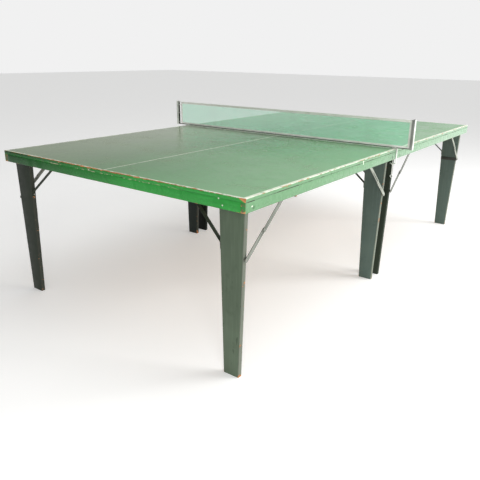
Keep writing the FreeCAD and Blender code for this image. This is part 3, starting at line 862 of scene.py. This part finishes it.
class PINGPONG_OT_steelwork(Operator):
    """Finish the bent braces, the leg straps and the folding stays."""

    bl_idname = "ping_pong.steelwork"
    bl_label = "Braces, straps and stays"

    def execute(self, context):
        for name in FRAMES:
            legs = name + "_legs"
            eased_copy(name + "_braces", ["brace_paint"], 0.0004, legs, "brace_steel")
            if name + "_leg_straps" in frame["nodes"]:
                eased_copy(name + "_leg_straps", ["strap_paint"], 0.0003, legs, "strap_steel")
            # The stays of the near end and the far seam take a painted shade.
            face = "stay_paint" if name in ("near_seam", "far_end") else "stay_painted_shade"
            for link in ("upper", "lower"):
                node = f"{name}_{link}_stays"
                stays = eased_copy(node, [face, "stay_edge"], 0.0003, f"{name}_{link}_links", "stay_steel")
                # Painted shade: the stays' narrow edges dark.
                paint_faces(stays, 1, lambda middle, normal: abs(normal.x) < 0.5)
        return {"FINISHED"}


class PINGPONG_OT_fasteners(Operator):
    """Finish the pivot bolts, the stay anchors, the studs and the screws."""

    bl_idname = "ping_pong.fasteners"
    bl_label = "Bolts and screws"

    def execute(self, context):
        for half in HALVES:
            for kind in ("pivot_bolts", "stay_anchors"):
                node = f"{half}_{kind}"
                eased_copy(node, ["bolt_steel"], 0.0002, half + "_half", "fastener_steel")
        for name in FRAMES:
            eased_copy(name + "_fixings", ["bolt_steel"], 0.0002, name + "_legs", "fastener_steel")
        return {"FINISHED"}


class PINGPONG_OT_net_frame(Operator):
    """Build the two channel posts and the bar that joins them."""

    bl_idname = "ping_pong.net_frame"
    bl_label = "Net posts and bar"

    def execute(self, context):
        _, _, net = choices()
        for side, way in (("left", -1), ("right", 1)):
            low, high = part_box(side + "_post")
            piece = block(side + "_channel", low, high, ["post_enamel", "channel_shade", "post_painted_shade"])
            centre = (low.x + high.x) / 2
            pick(piece, "EDGE", lambda middle, run: abs(run.z) > 0.1 and way * (middle.x - centre) > 0)
            bpy.ops.mesh.bevel(offset=0.0025, segments=4)
            pick(piece, "FACE", lambda middle, normal: abs(normal.z) > 0.9 or way * normal.x < -0.9)
            bpy.ops.mesh.delete(type="FACE")
            edit_done(piece)
            modify(piece, "SOLIDIFY", thickness=net.wall, offset=-1.0, use_even_offset=True)
            modify(piece, "BEVEL", width=0.0003, segments=2, limit_method="ANGLE")
            deep_y = high.y - net.wall + 0.0002
            deep_x = max(abs(low.x), abs(high.x)) - net.wall + 0.0002
            # Painted shade: the inside of each channel dark.
            paint_faces(piece, 1, lambda middle, normal: abs(middle.y) < deep_y
                        and abs(middle.x) < deep_x)
            # Painted shade on the right post's front flange.
            if side == "right":
                paint_faces(piece, 2, lambda middle, normal: normal.y < -0.9 and middle.y < -deep_y)
            smooth(piece)
            settle(piece, "near_half", "post_paint", side + "_post")
        bar = eased_copy("net_bar", ["post_enamel", "channel_shade"], 0.0008, "near_half", "post_paint")
        # Painted shade on the bar's sides and underside.
        paint_faces(bar, 1, lambda middle, normal: normal.z < 0.5)
        return {"FINISHED"}


class PINGPONG_OT_net(Operator):
    """Knot the net, sew its tapes and lace it to the posts."""

    bl_idname = "ping_pong.net"
    bl_label = "Net, tapes, cord and ties"

    def execute(self, context):
        _, _, net = choices()
        mesh = self.threads(net)
        tapes = [self.tape("net_top_tape", "net_top_binding")]
        tapes.append(eased_copy("net_edge_tapes", ["tape_weave"], 0.0006, "near_half", "tape_cotton",
                                "net_edge_binding"))
        cord = self.top_cord(net)
        ties = self.ties()
        settle(mesh, "near_half", "net_cotton", "net_mesh")
        return {"FINISHED"}

    def threads(self, net):
        """The upright and the level threads, each modelled once and repeated."""
        low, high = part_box("net_mesh")
        middle = (low + high) / 2
        rows = []
        for turn, run, axis, shift in (((0, 0, 0), high.z - low.z, 0, net.thread / 2),
                                       ((0, math.pi / 2, 0), high.x - low.x, 2, -net.thread / 2)):
            deselect()
            start = middle.copy()
            start[axis] = low[axis] + net.pitch / 2
            start.y += shift
            bpy.ops.mesh.primitive_cylinder_add(vertices=6, radius=net.thread, depth=run, location=start,
                                                rotation=turn)
            piece = named("threads", ["net_thread"])
            step = [0.0, 0.0, 0.0]
            step[axis] = net.pitch
            count = int((high[axis] - low[axis]) / net.pitch)
            modify(piece, "ARRAY", count=count, use_relative_offset=False, use_constant_offset=True,
                   constant_offset_displace=step)
            rows.append(piece)
        mesh = join("net_threads", rows)
        smooth(mesh, 70)
        return mesh

    def tape(self, node, name):
        """A tape folded over the net's edge, with a round fold at its top."""
        low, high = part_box(node)
        piece = block(name, low, high, ["tape_weave"])
        pick(piece, "EDGE", lambda middle, run: abs(run.x) > 1 and middle.z > high.z - 0.001)
        bpy.ops.mesh.bevel(offset=(high.y - low.y) * 0.45, segments=4)
        pick(piece, "EDGE", lambda middle, run: abs(run.x) > 1)
        bpy.ops.mesh.subdivide(number_cuts=160)
        edit_done(piece)
        smooth(piece, 60)
        return settle(piece, "near_half", "tape_cotton", node)

    def top_cord(self, net):
        """Strands laid up round the cord's line."""
        low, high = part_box("net_top_cord")
        middle = (low + high) / 2
        radius = (high.z - low.z) / 2
        strand = radius * 0.52
        turns = int((high.x - low.x) / (radius * 9))
        strands = []
        for index in range(net.cord_strands):
            deselect()
            angle = index * math.tau / net.cord_strands
            bpy.ops.mesh.primitive_circle_add(
                vertices=8, radius=strand, rotation=(0, math.pi / 2, 0),
                location=(low.x, middle.y + (radius - strand) * math.sin(angle),
                          middle.z + (radius - strand) * math.cos(angle)))
            piece = named("strand", ["cord_cotton"])
            strands.append(wind(piece, middle, "X", turns, high.x - low.x, 10))
        cord = join("net_top_cord_strands", strands)
        smooth(cord, 70)
        return settle(cord, "near_half", "tape_cotton", "net_top_cord")

    def ties(self):
        """Short loops from the side tapes to the posts, each with its knot."""
        post_low, post_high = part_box("net_ties")
        edge_low, edge_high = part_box("net_edge_tapes")
        parts = []
        for height in self.tie_heights():
            for start, end in ((post_low.x, edge_low.x), (edge_high.x, post_high.x)):
                parts.append(self.loop(start, end, height))
                deselect()
                inner = start if abs(start) < abs(end) else end
                bpy.ops.mesh.primitive_uv_sphere_add(segments=12, ring_count=8, radius=0.002,
                                                     location=(inner * 1.003, 0, height))
                parts.append(named("knot", ["cord_cotton"]))
        ties = join("net_tie_loops", parts)
        smooth(ties, 70)
        return settle(ties, "near_half", "tape_cotton", "net_ties")

    def loop(self, start, end, height):
        """A ring of cord drawn out into a long loop."""
        deselect()
        ring, cord = 0.0019, 0.0007
        bpy.ops.mesh.primitive_torus_add(location=(start + ring + cord, 0, height),
                                         rotation=(math.pi / 2, 0, 0), major_segments=24,
                                         minor_segments=8, major_radius=ring, minor_radius=cord)
        piece = named("tie", ["cord_cotton"])
        pick(piece, "VERT", lambda place, normal: place.x > start + ring + cord + 0.0001)
        bpy.ops.transform.translate(value=(end - start - 2 * (ring + cord), 0, 0))
        return edit_done(piece)

    def tie_heights(self):
        """Heights of the ties on the posts."""
        heights = sorted(vert.co.z for vert in frame["nodes"]["net_ties"].data.vertices)
        groups = [[]]
        for height in heights:
            if groups[-1] and height - groups[-1][-1] > 0.01:
                groups.append([])
            groups[-1].append(height)
        return [(group[0] + group[-1]) / 2 for group in groups]


class PINGPONG_OT_clamps(Operator):
    """Finish the clamps and their pads, and build the threaded eye screws."""

    bl_idname = "ping_pong.clamps"
    bl_label = "Clamps and eye screws"

    def execute(self, context):
        for side in SIDES:
            eased_copy(side + "_clamp", ["clamp_enamel"], 0.0004, side + "_clamp", "clamp_paint")
            eased_copy(side + "_clamp_pad", ["bolt_steel"], 0.0004, side + "_pad", "clamp_paint")
            self.eye_screw(side)
        return {"FINISHED"}

    def eye_screw(self, side):
        """A ring bent from the shank's own wire, and a shank with a real thread."""
        low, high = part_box(side + "_eye_screw")
        ring_radius = (high.x - low.x) / 2
        crest = (high.y - low.y) / 2
        wire = crest * 0.8
        core = crest * 0.86
        middle = (low + high) / 2
        eye = Vector((middle.x, middle.y, low.z + ring_radius))
        deselect()
        bpy.ops.mesh.primitive_torus_add(location=eye, rotation=(math.pi / 2, 0, 0), major_segments=40,
                                         minor_segments=12, major_radius=ring_radius - wire,
                                         minor_radius=wire)
        ring = named("eye", ["screw_zinc"])
        deselect()
        shank_low = eye.z + ring_radius - 2 * wire
        bpy.ops.mesh.primitive_cylinder_add(vertices=24, radius=core, depth=high.z - shank_low,
                                            location=(middle.x, middle.y, (high.z + shank_low) / 2))
        shank = named("shank", ["screw_zinc"])
        pick(shank, "EDGE", lambda place, run: abs(run.z) < 0.0001)
        bpy.ops.mesh.bevel(offset=core * 0.25, segments=2)
        edit_done(shank)
        thread = self.thread(middle, crest, shank_low + 0.012, high.z - 0.002)
        piece = join(side + "_eye_screw_threaded", [shank, ring, thread])
        smooth(piece, 50)
        settle(piece, side + "_screw", "screw_steel", side + "_eye_screw")

    def thread(self, middle, crest, low_z, high_z):
        """A three-cornered ridge wound up the shank."""
        pitch = 0.00125
        tooth = pitch * 0.42
        turns = int((high_z - low_z) / pitch)
        deselect()
        bpy.ops.mesh.primitive_circle_add(vertices=3, radius=tooth, rotation=(0, math.pi / 2, 0),
                                          location=(middle.x, middle.y + crest - tooth, low_z))
        ridge = named("thread", ["screw_zinc"])
        return wind(ridge, (middle.x, middle.y, 0), "Z", turns, pitch * turns, 16)


# ---- the stage ----

class PINGPONG_OT_stage(Operator):
    """Lay the floor, hang the lights and set the camera."""

    bl_idname = "ping_pong.stage"
    bl_label = "Floor, light and camera"

    def execute(self, context):
        self.floor()
        self.world()
        self.lamp("window_light", place=(4.4, 2.0, 2.2), target=(0.2, -0.2, 0.6), size=3.0, power=210)
        self.lamp("top_light", place=(1.0, 0.8, 4.2), target=(0, 0, 0.7), size=3.4, power=40)
        self.lamp("corner_light", place=(2.6, -3.4, 1.3), target=(0.6, -1.2, 0.5), size=1.2, power=46)
        self.camera()
        context.scene.view_settings.view_transform = "Standard"
        return {"FINISHED"}

    def floor(self):
        """A wide pale floor that glows a little, so that it stays pale far off."""
        deselect()
        bpy.ops.mesh.primitive_plane_add(size=60, location=(0, 0, CAD_BOX[0].z))
        ground = named("floor", [])
        made = Finish("pale_floor")
        tone = made.mix(made.noise(3, 3), (0.8, 0.8, 0.79), (0.84, 0.84, 0.83))
        ground.data.materials.append(made.finish(tone, 0.9, Emission_Color=(1, 1, 1, 1),
                                                 Emission_Strength=0.28))

    def world(self):
        """Soft light from all round, stronger from the window's side, before a plain pale wall."""
        sky = bpy.data.worlds.new("studio")
        bpy.context.scene.world = sky
        sky.use_nodes = True
        nodes, links = sky.node_tree.nodes, sky.node_tree.links
        place = nodes.new("ShaderNodeTexCoord")
        way = nodes.new("ShaderNodeVectorMath")
        way.operation = "DOT_PRODUCT"
        way.inputs[1].default_value = Vector((0.72, 0.62, 0.3)).normalized()
        links.new(place.outputs["Generated"], way.inputs[0])
        ramp = nodes.new("ShaderNodeValToRGB")
        ramp.color_ramp.elements[0].color = (0.1, 0.1, 0.1, 1)
        ramp.color_ramp.elements[1].position = 0.92
        ramp.color_ramp.elements[1].color = (1, 1, 1, 1)
        for position, level in ((0.38, 0.25), (0.56, 0.72)):
            ramp.color_ramp.elements.new(position).color = (level, level, level, 1)
        span = nodes.new("ShaderNodeMapRange")
        span.inputs["From Min"].default_value = -1
        links.new(way.outputs["Value"], span.inputs["Value"])
        links.new(span.outputs[0], ramp.inputs[0])
        seen = nodes.new("ShaderNodeMix")
        seen.data_type = "RGBA"
        links.new(nodes.new("ShaderNodeLightPath").outputs["Is Camera Ray"], seen.inputs["Factor"])
        links.new(ramp.outputs[0], seen.inputs["A"])
        seen.inputs["B"].default_value = (1.1, 1.1, 1.1, 1)
        links.new(seen.outputs["Result"], nodes["Background"].inputs["Color"])
        nodes["Background"].inputs["Strength"].default_value = 0.8

    def lamp(self, name, place, target, size, power):
        """A square soft light turned to face its target."""
        light = bpy.data.lights.new(name, "AREA")
        light.size = size
        light.energy = power
        lamp = bpy.data.objects.new(name, light)
        lamp.location = place
        lamp.rotation_euler = (Vector(target) - Vector(place)).to_track_quat("-Z", "Y").to_euler()
        bpy.context.scene.collection.objects.link(lamp)

    def camera(self):
        """A standing person's view, a little right of the near corner."""
        eye = (1.8184, -2.8079, 1.2311)
        yaw, pitch, roll = 0.6435, 0.3349, 0.0113
        ahead = Vector((-math.sin(yaw) * math.cos(pitch), math.cos(yaw) * math.cos(pitch),
                        -math.sin(pitch)))
        level = Vector((math.cos(yaw), math.sin(yaw), 0))
        over = level.cross(ahead)
        right = level * math.cos(roll) + over * math.sin(roll)
        up = over * math.cos(roll) - level * math.sin(roll)
        lens = bpy.data.cameras.new("camera")
        lens.lens = 39.96
        lens.sensor_width = 36
        view = bpy.data.objects.new("camera", lens)
        view.matrix_world = Matrix.Translation(eye) @ Matrix((right, up, -ahead)).transposed().to_4x4()
        bpy.context.scene.collection.objects.link(view)
        bpy.context.scene.camera = view


class PINGPONG_PT_table(Panel):
    """Lists the pieces in the order they are built, and what a user may change."""

    bl_label = "Ping pong table"
    bl_idname = "PINGPONG_PT_table"
    bl_space_type = "VIEW_3D"
    bl_region_type = "UI"
    bl_category = "Ping Pong"

    def draw(self, context):
        for operator in OPERATORS:
            self.layout.operator(operator.bl_idname)
        for group in choices():
            for name in group.bl_rna.properties.keys():
                if name not in ("rna_type", "name"):
                    self.layout.prop(group, name)


OPERATORS = (
    PINGPONG_OT_stage,
    PINGPONG_OT_boards,
    PINGPONG_OT_rails,
    PINGPONG_OT_nails,
    PINGPONG_OT_legs,
    PINGPONG_OT_steelwork,
    PINGPONG_OT_fasteners,
    PINGPONG_OT_net_frame,
    PINGPONG_OT_net,
    PINGPONG_OT_clamps,
)
GROUPS = {"ping_pong_colours": PaintColours, "ping_pong_sizes": TableSizes, "ping_pong_net": NetSizes}


def register():
    for kind in (*GROUPS.values(), *OPERATORS, PINGPONG_PT_table):
        bpy.utils.register_class(kind)
    for setting, group in GROUPS.items():
        setattr(bpy.types.Scene, setting, PointerProperty(type=group))


def unregister():
    for setting in reversed(GROUPS):
        delattr(bpy.types.Scene, setting)
    for kind in (PINGPONG_PT_table, *reversed(OPERATORS), *reversed(GROUPS.values())):
        bpy.utils.unregister_class(kind)


def main():
    register()
    for operator in OPERATORS:
        group, name = operator.bl_idname.split(".")
        getattr(getattr(bpy.ops, group), name)()


if __name__ == "__main__":
    main()
